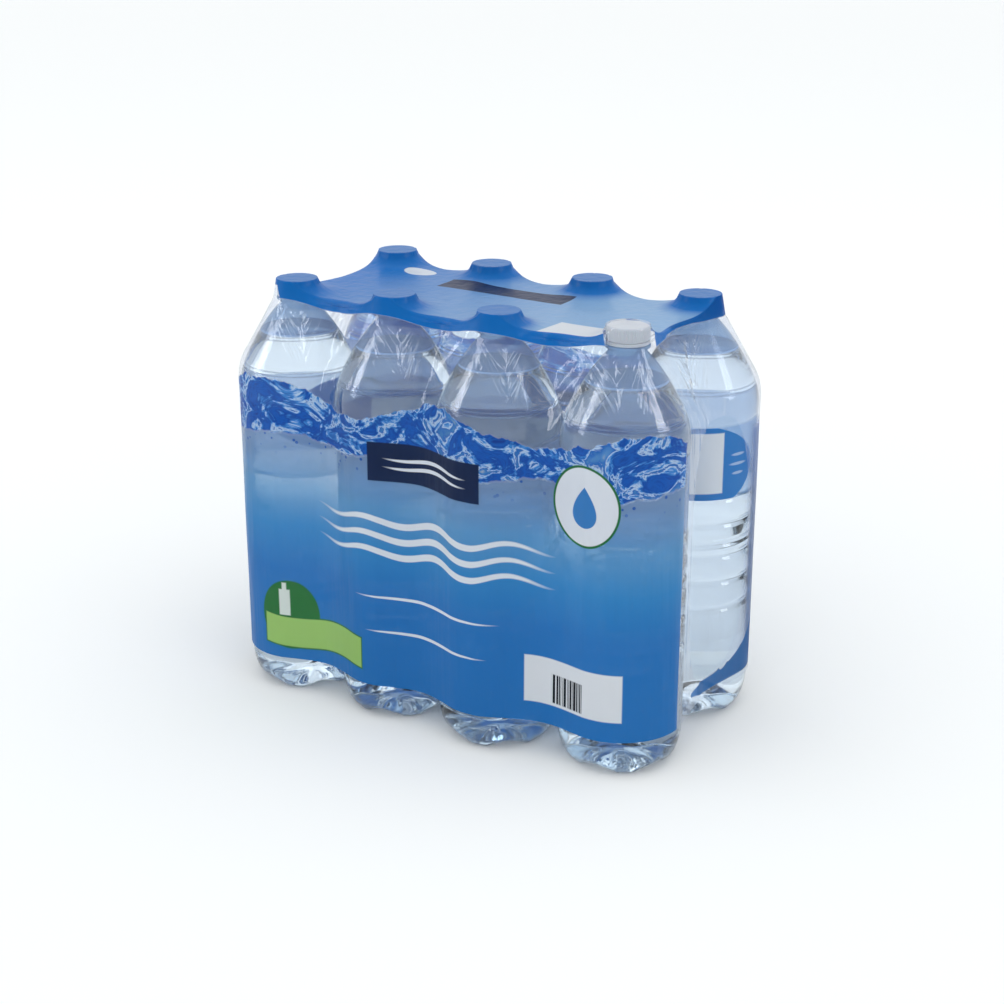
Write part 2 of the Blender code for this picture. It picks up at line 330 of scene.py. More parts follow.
def finish_piece(obj, material, node, smooth_angle=math.radians(32)):
    """Sets a piece's shading and material, and puts it in the CAD model's place for a node."""
    select_only(obj)
    bpy.ops.object.shade_smooth_by_angle(angle=smooth_angle)
    if material is not None:
        obj.data.materials.clear()
        obj.data.materials.append(material)
    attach(obj, "root")
    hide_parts(node)


def stand_in_rows(original, piece, node, material):
    """Copies a piece that is modelled at the origin to all eight places of the case."""
    for number, (place, axis) in enumerate(AXES.items()):
        made = copy_of(original, f"{piece}_{place}")
        made.rotation_euler.z = BOTTLE_TURN * number
        made.location = (axis.x, axis.y, 0)
        select_only(made)
        bpy.ops.object.transform_apply(location=True, rotation=True, scale=True)
        finish_piece(made, material, f"{node}_{place}")
    bpy.data.objects.remove(original, do_unlink=True)


def groove(middle, radius, depth, half, slope=0.0):
    """A rounded groove across the outline at a height, where the wall may slope."""
    steps = ((1.0, 0.0), (0.72, 0.18), (0.40, 0.72), (0.0, 1.0), (-0.40, 0.72), (-0.72, 0.18), (-1.0, 0.0))
    return [(radius - depth * share - slope * half * offset, middle + half * offset) for offset, share in steps]


def bottle_outline(settings, fine):
    """The bottle's outline from the lip down. The fine rings are in the wall alone, not in the water."""
    body, ring = settings.body_radius, RING_DEPTH if fine else 0.0
    points = [*NECK, *SHOULDER]
    for radius, height in SHOULDER_RINGS:
        points += groove(height, radius, ring, RING_HALF, SHOULDER_SLOPE)
    points += [
        *BODY_TOP, (body, PANEL_HIGH + 0.0012), (body - 0.0003, PANEL_HIGH),
        (PANEL_R + 0.0002, PANEL_HIGH - 0.0012), (PANEL_R, PANEL_HIGH - 0.0018),
        (PANEL_R, PANEL_LOW + 0.0018), (PANEL_R + 0.0002, PANEL_LOW + 0.0012),
        (body - 0.0003, PANEL_LOW), (body, PANEL_LOW - 0.0012),
    ]
    for rib in RIBS:
        points += groove(rib, body, settings.rib_depth, RIB_HALF)
    return [*points, *groove(LOW_RING, body, ring, RING_HALF), *BASE]


def raise_between_feet(mesh, hollow):
    """Raises the base between its five feet, most where the feet stand and little at its outer edge."""
    for vertex in mesh.vertices:
        point = vertex.co
        radius = math.hypot(point.x, point.y)
        if point.z < FOOT_REACH and radius > 0:
            turn = math.atan2(point.y, point.x)
            turn = math.cos(FEET * turn) + 0.18 * math.cos(PETALS * turn)
            between = max((FOOT_PAD - turn) / (1 + FOOT_PAD), 0) ** 0.7
            inner = smooth((radius - 0.006) / 0.018)
            outer = 1 - 0.75 * smooth((radius - 0.030) / 0.012)
            point.z += hollow * between * inner * outer * (1 - point.z / FOOT_REACH)


def bottle_skin(settings, fine):
    skin = turned("bottle_skin", bottle_outline(settings, fine), SPIN_STEPS)
    raise_between_feet(skin.data, settings.foot_hollow)
    return skin


class CASE_OT_bottles(bpy.types.Operator):
    """Blows the eight clear bottles: one skin with its rings, ribs and five feet, given a wall and copied"""

    bl_idname = "case.bottles"
    bl_label = "Bottles"

    def execute(self, context):
        settings = context.scene.case_bottle
        skin = bottle_skin(settings, True)
        thicken(skin, settings.wall, offset=-1)
        stand_in_rows(skin, "pet_bottle", "bottle", blown_pet(settings))
        return {"FINISHED"}


class CASE_OT_water(bpy.types.Operator):
    """Fills the bottles: the skin moved to the middle of its wall, cut off and closed at the water level"""

    bl_idname = "case.water"
    bl_label = "Water"

    def execute(self, context):
        settings = context.scene.case_bottle
        level = settings.water_level
        skin = bottle_skin(settings, False)
        select_only(skin)
        edit_all()
        bpy.ops.transform.shrink_fatten(value=-settings.wall / 2)
        bpy.ops.mesh.select_all(action="SELECT")
        bpy.ops.mesh.bisect(plane_co=(0, 0, level), plane_no=(0, 0, 1), use_fill=True, clear_outer=True)
        close_up()
        skin.data.materials.append(still_water("still_water", settings.water, 0.0))
        # the surface's blue colour and matt share are a painted reflection of the print over it
        skin.data.materials.append(still_water("still_water_surface", settings.surface, SURFACE_PAINTED_REFLECTION))
        skin.active_material_index = 1
        on_faces(
            skin, lambda face: face.normal.z > 0.99 and face.center.z > level - MERGE,
            bpy.ops.object.material_slot_assign)
        stand_in_rows(skin, "still_water", "water", None)
        return {"FINISHED"}


class CASE_OT_labels(bpy.types.Operator):
    """Wraps a film label round each bottle's waist"""

    bl_idname = "case.labels"
    bl_label = "Labels"

    def execute(self, context):
        settings = context.scene.case_label
        bpy.ops.object.select_all(action="DESELECT")
        height = settings.high - settings.low
        bpy.ops.mesh.primitive_cylinder_add(
            vertices=SPIN_STEPS, radius=settings.radius, depth=height,
            end_fill_type="NOTHING", location=(0, 0, settings.low + height / 2))
        label = bpy.context.object
        bpy.ops.object.transform_apply(location=True, rotation=True, scale=True)
        edit_all()
        bpy.ops.mesh.subdivide(number_cuts=1)
        bpy.ops.object.mode_set(mode="OBJECT")
        for vertex in label.data.vertices:  # the film sits a little loose along its edges
            point = vertex.co
            loose = 0.00012 * noise.noise(Vector((point.x, point.y, point.z * 0.4)) * 90)
            spread = 1 + loose / math.hypot(point.x, point.y)
            point.x *= spread
            point.y *= spread
        lay_out_label(label.data, settings)
        for material in (printed_label(settings), label_back(settings)):
            label.data.materials.append(material)
        thicken(label, settings.thickness, offset=1, material_offset=1)
        stand_in_rows(label, "film_label", "label", None)
        return {"FINISHED"}


def lay_out_label(mesh, settings):
    """Lays the label out flat in metres: along it from the white panel's right edge, and its height."""
    layer = mesh.uv_layers[0]
    layer.name = "Flat"
    for face in mesh.polygons:
        middle = math.atan2(face.center.y, face.center.x) - settings.panel_turn
        middle = (middle + math.pi) % math.tau - math.pi
        for index in face.loop_indices:
            point = mesh.vertices[mesh.loops[index].vertex_index].co
            turn = math.atan2(point.y, point.x) - settings.panel_turn
            turn += math.tau * round((middle - turn) / math.tau)
            layer.data[index].uv = (turn * settings.radius, point.z)


class CASE_OT_caps(bpy.types.Operator):
    """Turns a screw cap with its tamper ring, cuts its grip ribs and copies it to each bottle"""

    bl_idname = "case.caps"
    bl_label = "Caps"

    def execute(self, context):
        settings = context.scene.case_cap
        high, low, radius = settings.high, settings.low, settings.radius
        split = low + TAMPER_RING
        outer = (
            (0.0003, low), (0.0001, low + 0.0003), (0.0001, split - 0.0003), (0.0009, split - 0.0001),
            (0.0009, split + 0.0001), (0.0002, split + 0.0004), (0.0, split + 0.0012), (0.0001, high - 0.0022),
            (0.0004, high - 0.0012), (0.0010, high - 0.0005), (0.0018, high - 0.0001), (0.0026, high),
        )
        outline = [(0.0, high - CAP_WALL), (radius - CAP_WALL, high - CAP_WALL), (radius - CAP_WALL, low)]
        outline += [(radius - inwards, height) for inwards, height in outer]
        outline += [(0.0100, high), (0.0060, high), (0.0, high)]
        cap = turned("cap", outline, settings.ribs * RIB_STEPS)
        for vertex in cap.data.vertices:
            point = vertex.co
            around = math.hypot(point.x, point.y)
            if split + 0.001 < point.z < high - 0.001 and around > radius - 0.0008:
                turn = round(math.atan2(point.y, point.x) / math.tau * settings.ribs * RIB_STEPS) % RIB_STEPS
                if turn in (2, 3):
                    point.x *= 1 - GRIP_DEPTH / around
                    point.y *= 1 - GRIP_DEPTH / around
        stand_in_rows(cap, "screw_cap", "cap", moulded_hdpe(settings))
        return {"FINISHED"}


# -------------------------------------------------------------------------------------- wrap


def between_rows_of(height):
    """The wrap's distance from the bottles' axes and its valley's depth at a height, on smooth curves."""
    rows = WRAP_ROWS
    last = len(rows) - 1
    for i in range(last):
        if height >= rows[i + 1][0] or i == last - 1:
            break
    span = rows[i][0] - rows[i + 1][0]
    part = min(max((rows[i][0] - height) / span, 0.0), 1.0)
    values = []
    for k in (1, 2):
        start, end = rows[i][k], rows[i + 1][k]
        before = rows[max(i - 1, 0)]
        after = rows[min(i + 2, last)]
        slope_in = (end - before[k]) / (before[0] - rows[i + 1][0]) * span
        slope_out = (after[k] - start) / (rows[i][0] - after[0]) * span if i + 2 <= last else 0.0
        if i >= last - 2:
            slope_out = 0.0
        if i == last - 1:
            slope_in = 0.0
        p2, p3 = part * part, part ** 3
        values.append(
            start * (2 * p3 - 3 * p2 + 1) + slope_in * (p3 - 2 * p2 + part)
            + end * (3 * p2 - 2 * p3) + slope_out * (p3 - p2))
    return values


def drape(along, half, radius, valley, soft):
    """How far the taut film stands off the rail: round the bottle, then straight to the valley."""
    t = half - abs(half - along)
    middle = radius - valley
    reach = math.hypot(half, middle)
    touch = math.atan2(half, middle) - math.acos(min(radius / reach, 1.0))
    touch_t, touch_y = radius * math.sin(touch), radius * math.cos(touch)
    if t <= touch_t:
        return math.sqrt(max(radius * radius - t * t, 0.0))
    from_middle, full = half - t, half - touch_t
    curved = math.hypot(from_middle, soft) - soft
    return middle + (touch_y - middle) * curved / (math.hypot(full, soft) - soft)


def stations():
    """The wrap's four sides: front, right end, back, left end, each as (rail point, outwards, along, half).

    A side runs anticlockwise from one corner's middle to the next. Where along is None, the film
    turns round a corner bottle.
    """
    rows = [[axis_of(column, row) for column in range(COLUMNS)] for row in (0, 1)]
    rails = [rows[0], [rows[0][-1], rows[1][-1]], rows[1][::-1], [rows[1][0], rows[0][0]]]

    def facing(start, end):
        direction = (end - start).normalized()
        return Vector((direction.y, -direction.x))

    sides = []
    for number, rail in enumerate(rails):
        steps = ROW_STEPS if number % 2 == 0 else END_STEPS
        last_side, next_side = rails[number - 1], rails[(number + 1) % 4]
        first, last = facing(rail[0], rail[1]), facing(rail[-2], rail[-1])
        corner_in = (facing(last_side[-2], last_side[-1]) + first).normalized()
        corner_out = (last + facing(next_side[0], next_side[1])).normalized()
        side = [(rail[0], corner_in.slerp(first, i / CORNER_STEPS), None, 0.0) for i in range(CORNER_STEPS)]
        for start, end in zip(rail, rail[1:]):
            length = (end - start).length
            for i in range(steps):
                side.append((start.lerp(end, i / steps), facing(start, end), length * i / steps, length / 2))
        side += [
            (rail[-1], last.slerp(corner_out, i / CORNER_STEPS), None, 0.0) for i in range(CORNER_STEPS + 1)]
        sides.append(side)
    return sides


def wall_point(station, radius, valley, soft, is_end):
    rail, outwards, along, half = station
    if along is None:
        return rail + outwards * radius
    if is_end:
        valley, soft = valley * END_VALLEY, END_SOFT
    return rail + outwards * drape(along, half, radius, valley, soft)


def canopy_height(point, sag):
    """The wrap's top: flat on each cap, falling fast round it and level between the caps."""
    nearest = min((point - axis).length for axis in AXES.values())
    skirt = min(max((nearest - DISC_R) / (SKIRT_R - DISC_R), 0), 1)
    beyond = max(nearest - SKIRT_R, 0)
    return CASE_TOP - 0.0001 - SKIRT_DROP * skirt - (sag - SKIRT_DROP) * (1 - math.exp(-beyond / SAG_REACH))


def fold_share(station):
    """How far a station is from the nearest cap along its rail, from 0 at the cap to 1 in the valley."""
    along, half = station[2], station[3]
    return 0.0 if along is None else 1 - abs(half - along) / half


def ripples(point, size):
    """The film's soft ripples: long upright ones on the sides, rounder ones on the shoulders."""
    upright = noise.noise(Vector((point.x * 110, point.y * 110, point.z * 9)))
    broad = noise.noise(Vector((point.x * 26, point.y * 26, point.z * 16 + 7)))
    return size * (0.55 * upright + 0.9 * broad)


def tension_folds(along, half, height):
    """Folds that fan out from a cap to the valleys beside it, where the film is drawn in."""
    t = half - abs(half - along)
    angle = math.atan2(t, 0.325 - height)
    high = smooth((height - 0.232) / 0.020) * smooth((0.303 - height) / 0.012)
    return noise.noise(Vector((angle * 15, along * 12, height * 22))) * smooth(t / half * 1.3 - 0.15) * high


def grid_sheet(name, columns, rows):
    """A flat grid of squares, whose vertices are then moved into place, row by row."""
    bpy.ops.object.select_all(action="DESELECT")
    bpy.ops.mesh.primitive_grid_add(x_subdivisions=columns, y_subdivisions=rows, size=1)
    sheet = bpy.context.object
    sheet.name = sheet.data.name = name
    sheet.data.uv_layers[0].name = "Print"
    return sheet


def side_starts(sides):
    """Where each side starts in the ring of stations, and where the last one ends."""
    starts = [0]
    for side in sides:
        starts.append(starts[-1] + len(side) - 1)
    return starts


def wall_heights():
    """The heights of the walls' rows: fine over the shoulders, coarse down to the hem."""
    heights, height = [], WRAP_ROWS[0][0]
    for low, step in ((FINE_LOW, FINE_STEP), (WRAP_ROWS[-1][0] + HEM_GAP, COARSE_STEP)):
        while height > low:
            heights.append(height)
            height -= step
    return [*heights, WRAP_ROWS[-1][0]]


def wall_column(station, is_end, heights, settings):
    """The wall's points at one station, from its rounded fold down to the hem."""
    outwards, along, half = station[1:]
    top, top_radius, top_valley = WRAP_ROWS[0]
    share = fold_share(station)
    rounding = 0.0006 + 0.0030 * smooth(share)
    fold = wall_point(station, FOLD_R, FOLD_VALLEY, FOLD_SOFT, is_end)
    fold_z = canopy_height(fold - outwards * rounding, settings.sag)
    column = []
    for j in range(FOLD_STEPS):
        if j < ROUND_STEPS:
            turn = math.pi / 2 * j / (ROUND_STEPS - 1)
            inwards = rounding * (1 - math.sin(turn))
            down = rounding * (1 - math.cos(turn))
            radius, valley, z = FOLD_R - inwards, FOLD_VALLEY, fold_z - down
        else:
            part = (j - ROUND_STEPS + 1) / (FOLD_STEPS - ROUND_STEPS + 1)
            radius = FOLD_R + (top_radius - FOLD_R) * part
            valley = FOLD_VALLEY + (top_valley - FOLD_VALLEY) * part
            z = fold_z - rounding + (top - fold_z + rounding) * part
        soft = FOLD_SOFT - SOFT_LOSS * max(j - ROUND_STEPS + 1, 0) / (FOLD_STEPS - ROUND_STEPS + 1)
        column.append(Vector((*wall_point(station, radius, valley, soft, is_end), z)))
    for z in heights:
        radius, valley = between_rows_of(z)
        soft = 0.0030 + 0.012 * smooth((0.262 - z) / 0.030)
        place = wall_point(station, radius, valley, soft, is_end)
        wave = ripples(Vector((*place, z)), settings.ripple) * smooth((0.302 - z) / 0.02)
        if along is not None:
            wave += TENSION * (tension_folds(along, half, z) - 0.3 * share)
        place = place + outwards * min(wave, LIFT)
        column.append(Vector((*place, z)))
    return column


def girths(ring):
    """How far round the case each station lies: along the wall at its ends and corners, else along the rail."""
    girth = [0.0]
    for (before, was_end), (station, is_end) in zip(ring, ring[1:]):
        turns = (station[1] - before[1]).length > MERGE
        if turns or station[2] is None or before[2] is None or is_end:
            step = wall_point(station, *GIRTH_WALL, is_end) - wall_point(before, *GIRTH_WALL, was_end)
        else:
            step = station[0] - before[0]
        girth.append(girth[-1] + step.length)
    return girth


def lay_out_print(mesh, girth, sides, columns):
    """Lays the print out flat in metres: from the middle of its own side, and its height."""
    starts = side_starts(sides)
    front, right, back, left = (start + (end - start) // 2 for start, end in zip(starts, starts[1:]))
    layer = mesh.uv_layers["Print"]
    for face in mesh.polygons:
        across = [mesh.loops[i].vertex_index % columns for i in face.loop_indices]
        low = min(across)
        if low < right:
            start = girth[front]
        elif low < left:
            start = girth[back]
        else:
            start = girth[-1] + girth[front]
        start += SLIPPED.x / 2  # so that the print's places are the case's own X along a row
        for i, column in zip(face.loop_indices, across):
            layer.data[i].uv = (girth[column] - start, mesh.vertices[mesh.loops[i].vertex_index].co.z)


def wrap_walls(settings):
    """The wrap's sides, from the fold down to the hem, as one sheet that goes all round."""
    sides = stations()
    ring = [(station, number % 2 == 1) for number, side in enumerate(sides) for station in side[:-1]]
    ring.append(ring[0])
    heights = wall_heights()
    columns, rows = len(ring), FOLD_STEPS + len(heights)
    sheet = grid_sheet("wrap_film", columns - 1, rows - 1)
    places = [wall_column(station, is_end, heights, settings) for station, is_end in ring]
    for index, vertex in enumerate(sheet.data.vertices):
        vertex.co = places[index % columns][index // columns]
    lay_out_print(sheet.data, girths(ring), sides, columns)
    cut_eyes(sheet, places, sides, columns, rows)
    return sheet, [column[0] for column in places[:-1]], sides


def cut_eyes(sheet, places, sides, columns, rows):
    """Cuts the oval opening in each end: its faces go, and the vertices beside it move onto its outline."""
    mesh = sheet.data
    starts = side_starts(sides)

    def outside(point, eye):
        middle_y, middle_z, half_y, half_z = eye
        y, z = abs((point.y - middle_y) / half_y), abs((point.z - middle_z) / half_z)
        return (y ** EYE_POWER + z ** EYE_POWER) ** (1 / EYE_POWER)

    doomed = set()
    rim = sheet.vertex_groups.new(name="Edge")
    for number, eye in EYES.items():
        first, last = starts[number], starts[number + 1]
        for face in mesh.polygons:
            column = min(mesh.loops[i].vertex_index % columns for i in face.loop_indices)
            if first <= column < last and outside(face.center, eye) < 1:
                doomed.add(face.index)
        kept = {v for face in mesh.polygons if face.index not in doomed for v in face.vertices}
        gone = {v for index in doomed for v in mesh.polygons[index].vertices}
        edge = {v for v in kept & gone if first <= v % columns <= last}
        middle_y, middle_z = eye[:2]
        for index in edge:
            vertex = mesh.vertices[index]
            scale = 1 / outside(vertex.co, eye)
            y = middle_y + (vertex.co.y - middle_y) * scale
            z = middle_z + (vertex.co.z - middle_z) * scale
            j = min(index // columns, rows - 1)
            nearest = min(range(first, last), key=lambda k: abs(places[k][j].y - y))
            vertex.co = Vector((places[nearest][j].x, y, z))
        rim.add(sorted(edge), 1.0, "REPLACE")
    on_faces(sheet, lambda face: face.index in doomed, bpy.ops.mesh.delete, type="FACE")


def wrap_top(settings, fold, sides):
    """The wrap's top, blended from the four sides of its fold, flat on the caps and sagging between them."""
    starts = side_starts(sides)
    wide, deep = starts[1], starts[2] - starts[1]
    ring = [*fold, fold[0]]
    front, right, back, left = (ring[start:end + 1] for start, end in zip(starts, starts[1:]))
    back, left = back[::-1], left[::-1]
    sheet = grid_sheet("wrap_top", wide, deep)
    fixed = set()
    for index, vertex in enumerate(sheet.data.vertices):
        i, j = index % (wide + 1), index // (wide + 1)
        u, v = i / wide, j / deep
        if i in (0, wide) or j in (0, deep):
            fixed.add(index)
        if j in (0, deep):
            vertex.co = (back if j else front)[i]
        elif i in (0, wide):
            vertex.co = (right if i else left)[j]
        else:
            corners = (
                front[0] * (1 - u) * (1 - v) + front[-1] * u * (1 - v)
                + back[-1] * u * v + back[0] * (1 - u) * v)
            vertex.co = front[i] * (1 - v) + back[i] * v + left[j] * (1 - u) + right[j] * u - corners

    def near_rim(face):
        beyond = min((Vector(face.center.xy) - axis).length for axis in AXES.values()) - DISC_R
        return -0.003 < beyond < 0.005 and not fixed.intersection(face.vertices)

    on_faces(sheet, near_rim, bpy.ops.mesh.subdivide, number_cuts=1)
    for vertex in sheet.data.vertices:
        if vertex.index in fixed:
            continue
        flat = Vector(vertex.co.xy)
        axis = min(AXES.values(), key=lambda a: (flat - a).length)
        away = flat - axis
        beyond = away.length - DISC_R
        if abs(beyond) < RIM_NEAR:
            flat = axis + away.normalized() * DISC_R
        elif 0 < beyond < SKIRT_NEAR:
            flat = axis + away.normalized() * SKIRT_R
        height = canopy_height(flat, settings.sag)
        height += ripples(Vector((*flat, height)), 0.0003) * smooth((CASE_TOP - height - 0.004) / 0.004)
        vertex.co = Vector((*flat, height))
    canopy = sheet.data.attributes.new("canopy", "FLOAT", "FACE")
    for value in canopy.data:
        value.value = 1.0
    layer = sheet.data.uv_layers["Print"]
    for loop in sheet.data.loops:
        point = sheet.data.vertices[loop.vertex_index].co
        layer.data[loop.index].uv = (point.x, point.z)
    return sheet


def mark_bare_zones(mesh):
    """Gives the film's third material to the faces that have no print: over the waves, and on the ends."""
    layer, canopy = mesh.uv_layers["Print"], mesh.attributes["canopy"]
    for face in mesh.polygons:
        heights = [mesh.vertices[i].co.z for i in face.vertices]
        across = min(abs(layer.data[i].uv.x) for i in face.loop_indices)
        over_waves = min(heights) > BARE_LOW - MERGE
        on_end = across > PRINT_EDGE + 0.002 and min(heights) > EYE_LOW and face.center.y < PRINT_BACK
        on_wall = canopy.data[face.index].value <= 0.5 and max(heights) < BARE_HIGH + MERGE
        if on_wall and (over_waves or on_end):
            face.material_index = 2


class CASE_OT_wrap(bpy.types.Operator):
    """Shrinks the printed film round the case: sides with taut creases, a sagging top and two oval openings"""

    bl_idname = "case.wrap"
    bl_label = "Wrap"

    def execute(self, context):
        settings = context.scene.case_wrap
        walls, fold, sides = wrap_walls(settings)
        top = wrap_top(settings, fold, sides)
        select_only(walls)
        top.select_set(True)
        bpy.ops.object.join()
        edit_all()
        close_up()
        edge = walls.vertex_groups["Edge"]
        hem = WRAP_ROWS[-1][0] + MERGE
        edge.add([v.index for v in walls.data.vertices if v.co.z < hem], 1.0, "REPLACE")
        walls.data.materials.clear()
        inner = clear_film()
        for material in (printed_film(settings), inner, bare_film(), inner):
            walls.data.materials.append(material)
        mark_bare_zones(walls.data)
        thicken(
            walls, settings.thickness, offset=-1, vertex_group=edge.name, thickness_vertex_group=THIN_SHARE,
            material_offset=1, material_offset_rim=1)
        finish_piece(walls, None, "wrap", math.radians(50))
        return {"FINISHED"}


# --------------------------------------------------------------------------------- materials


def new_material(name):
    """An empty material, and the function that adds a node to it."""
    made = bpy.data.materials.new(name)
    made.use_nodes = True
    made.node_tree.nodes.clear()
    return made, partial(add_node, made.node_tree)


def add_node(tree, kind, settings, inputs, output=0):
    """Adds a shader node with its settings, or its operation alone, and returns one of its outputs.

    Inputs go by their names or numbers, or in their order, and each gets a value, a hex colour or a link.
    """
    node = tree.nodes.new("ShaderNode" + kind)
    if isinstance(settings, str):
        settings = {"operation": settings}
    for name, value in settings.items():
        setattr(node, name, value)
    if isinstance(inputs, tuple):
        inputs = dict(enumerate(inputs))
    for key, value in inputs.items():
        if isinstance(value, bpy.types.NodeSocket):
            tree.links.new(value, node.inputs[key])
        else:
            node.inputs[key].default_value = linear(value) if isinstance(value, str) else value
    return node.outputs[output] if len(node.outputs) else node


def thin_gloss(add, normal_facing):
    """The share of light that a thin clear wall reflects, the same from both of its sides."""
    steep = add("Math", "POWER", (normal_facing, 5.0))
    return add("Math", "MULTIPLY_ADD", (steep, 0.85, 0.03))


def blown_pet(settings):
    """Clear PET, stretch-blown: a smooth thin wall that shows by its sheen, dulled over the water by damp and a
    painted blue shade, with painted light lines at the water's edge and in the shoulder rings' grooves.
    """
    made, add = new_material("blown_clear_pet")
    share = thin_gloss(add, add("LayerWeight", {}, {"Blend": 0.5}, "Facing"))
    z = add("SeparateXYZ", {}, (add("TexCoord", {}, {}, "Object"),), "Z")
    level = settings.water_level
    # over the water the wall is tinted and covered with matt blue drops: damp, with a painted blue shade from the
    # print above
    damp = add("MapRange", {}, (z, level - 0.0004, level + 0.0006))
    colour = add("Mix", {"data_type": "RGBA"}, {
        0: damp, 6: (*settings.tint, 1.0), 7: (*settings.damp_and_shade_tint, 1.0)}, 2)
    through = add("BsdfTransparent", {}, {"Color": colour})
    drops_painted_shade_and_light = add("BsdfDiffuse", {}, {"Color": "#a3c8f2"})
    drops_painted_shade_and_light_share = add("Math", "MULTIPLY", (damp, DAMP_AND_SHADE_SHARE))
    painted_light_lines = [(level + 0.0003, 0.0006, 0.34)]  # painted light lines in the drops' pale blue: one at the water's edge, and light in the rings' grooves
    painted_light_lines += [(ring_height, 0.0005, 0.26) for _, ring_height in SHOULDER_RINGS]
    for height, half, extra in painted_light_lines:
        line = add("Math", "COMPARE", (z, height, half))
        drops_painted_shade_and_light_share = add("Math", "MULTIPLY_ADD", (line, extra, drops_painted_shade_and_light_share))
    through = add("MixShader", {}, (drops_painted_shade_and_light_share, through, drops_painted_shade_and_light))
    gloss = add("BsdfGlossy", {}, {"Roughness": 0.04})
    add("OutputMaterial", {}, {"Surface": add("MixShader", {}, (share, through, gloss))})
    return made


def still_water(name, colour, painted_reflection):
    """Still mineral water: perfectly clear, it bends the light like a lens; on its surface, the colour given and
    a matt pale blue share are a painted reflection of the print over it.
    """
    made, add = new_material(name)
    water = add("BsdfPrincipled", {}, {
        "Base Color": (*colour, 1.0), "Roughness": 0.0, "IOR": 1.333, "Transmission Weight": 1.0})
    # matt pale blue: painted reflection of the print over the water's surface
    light = add("BsdfDiffuse", {}, {"Color": "#b4c9e2"})
    water = add("MixShader", {}, (painted_reflection, water, light))
    add("OutputMaterial", {}, {"Surface": water})
    return made


def moulded_hdpe(settings):
    """HDPE, injection moulded: a satin, faintly waxy light grey with a fine mould grain."""
    made, add = new_material("moulded_hdpe")
    place = add("TexCoord", {}, {}, "Object")
    grain = add("TexNoise", {}, {"Vector": place, "Scale": 1400.0, "Detail": 2.0})
    cloud = add("TexNoise", {}, {"Vector": place, "Scale": 90.0, "Detail": 1.0})
    colour = tuple(settings.colour)
    tone = add("Mix", {"data_type": "RGBA"}, {
        0: cloud, 6: (*[c * 0.93 for c in colour], 1.0), 7: (*[min(c * 1.04, 1) for c in colour], 1.0)}, 2)
    bump = add("Bump", {}, {"Strength": 0.2, "Distance": 0.0002, "Height": grain})
    plastic = add("BsdfPrincipled", {}, {
        "Base Color": tone, "Roughness": 0.42, "IOR": 1.52, "Normal": bump,
        "Subsurface Weight": 0.15, "Subsurface Scale": 0.001})
    add("OutputMaterial", {}, {"Surface": plastic})
    return made


def inside_oval(add, place, middle, half, edge=0.02):
    """1 inside an oval of a flat layout and 0 outside it."""
    away = add("VectorMath", "SUBTRACT", (place, (*middle, 0.0)))
    scaled = add("VectorMath", "DIVIDE", (away, (*half, 1.0)))
    reach = add("VectorMath", "LENGTH", (scaled,), "Value")
    return add("MapRange", {}, (reach, 1 + edge, 1 - edge))


def inside_box(add, place, middle, half, edge=0.0004):
    """1 inside a rectangle of a flat layout and 0 outside it, with an edge of its own width in metres."""
    away = add("VectorMath", "SUBTRACT", (place, (*middle, 0.0)))
    away = add("VectorMath", "ABSOLUTE", (away,))
    over = add("VectorMath", "SUBTRACT", (away, (*half, 0.0)))
    over_x = add("SeparateXYZ", {}, (over,), "X")
    most = add("Math", "MAXIMUM", (over_x, over_x.node.outputs["Y"]))
    return add("MapRange", {}, (most, edge, -edge))


def print_layer(add, below, colour, cover, mask):
    """Prints a colour with its cover over what is below, where the mask is 1."""
    colour_below, cover_below = below
    ink = add("Mix", {"data_type": "RGBA"}, {0: mask, 6: colour_below, 7: colour}, 2)
    thick = add("Mix", {"data_type": "FLOAT"}, {0: mask, 2: cover_below, 3: cover})
    return ink, thick


def printed_label(settings):
    """White BOPP film, printed: glossy, with a white panel, a deep blue field and a pale remainder."""
    made, add = new_material("printed_bopp_film")
    flat = add("UVMap", {"uv_map": "Flat"}, {})
    white, blue = (*settings.white, 1.0), (*settings.blue, 1.0)
    layers = (linear("#8fc0f2"), 0.30)
    field = inside_oval(add, flat, (-0.0300, 0.1995), (0.0580, 0.0330), 0.004)
    layers = print_layer(add, layers, blue, 0.98, field)
    panel = inside_box(add, flat, (-0.0450, 0.2030), (0.0450, 0.0225))
    layers = print_layer(add, layers, white, 0.98, panel)
    for height, half in ((0.2080, 0.0060), (0.2010, 0.0075), (0.1940, 0.0050)):
        stroke = inside_oval(add, flat, (0.0130, height), (half, 0.0011), 0.2)
        layers = print_layer(add, layers, linear("#a9c6e8"), 0.98, stroke)
    place = add("TexCoord", {}, {}, "Object")
    creases = add("TexNoise", {}, {"Vector": place, "Scale": 45.0, "Detail": 3.0})
    bump = add("Bump", {}, {"Strength": 0.2, "Distance": 0.002, "Height": creases})
    ink = add("BsdfPrincipled", {}, {"Base Color": layers[0], "Roughness": 0.3, "IOR": 1.49, "Normal": bump})
    glow = add("BsdfTranslucent", {}, {"Color": layers[0]})
    ink = add("MixShader", {}, (0.40, ink, glow))
    clear = add("BsdfTransparent", {}, {"Color": "#fbfcfe"})
    film = add("MixShader", {}, (layers[1], clear, ink))
    add("OutputMaterial", {}, {"Surface": film})
    return made


def label_back(settings):
    """White BOPP film from behind: an even pale blue that the light shines through."""
    made, add = new_material("bopp_film_inside")
    colour = (*settings.inside, 1.0)
    film = add("BsdfDiffuse", {}, {"Color": colour})
    glow = add("BsdfTranslucent", {}, {"Color": colour})
    film = add("MixShader", {}, (0.5, film, glow))
    clear = add("BsdfTransparent", {}, {"Color": "#f2f7fc"})
    film = add("MixShader", {}, (0.30, clear, film))
    add("OutputMaterial", {}, {"Surface": film})
    return made


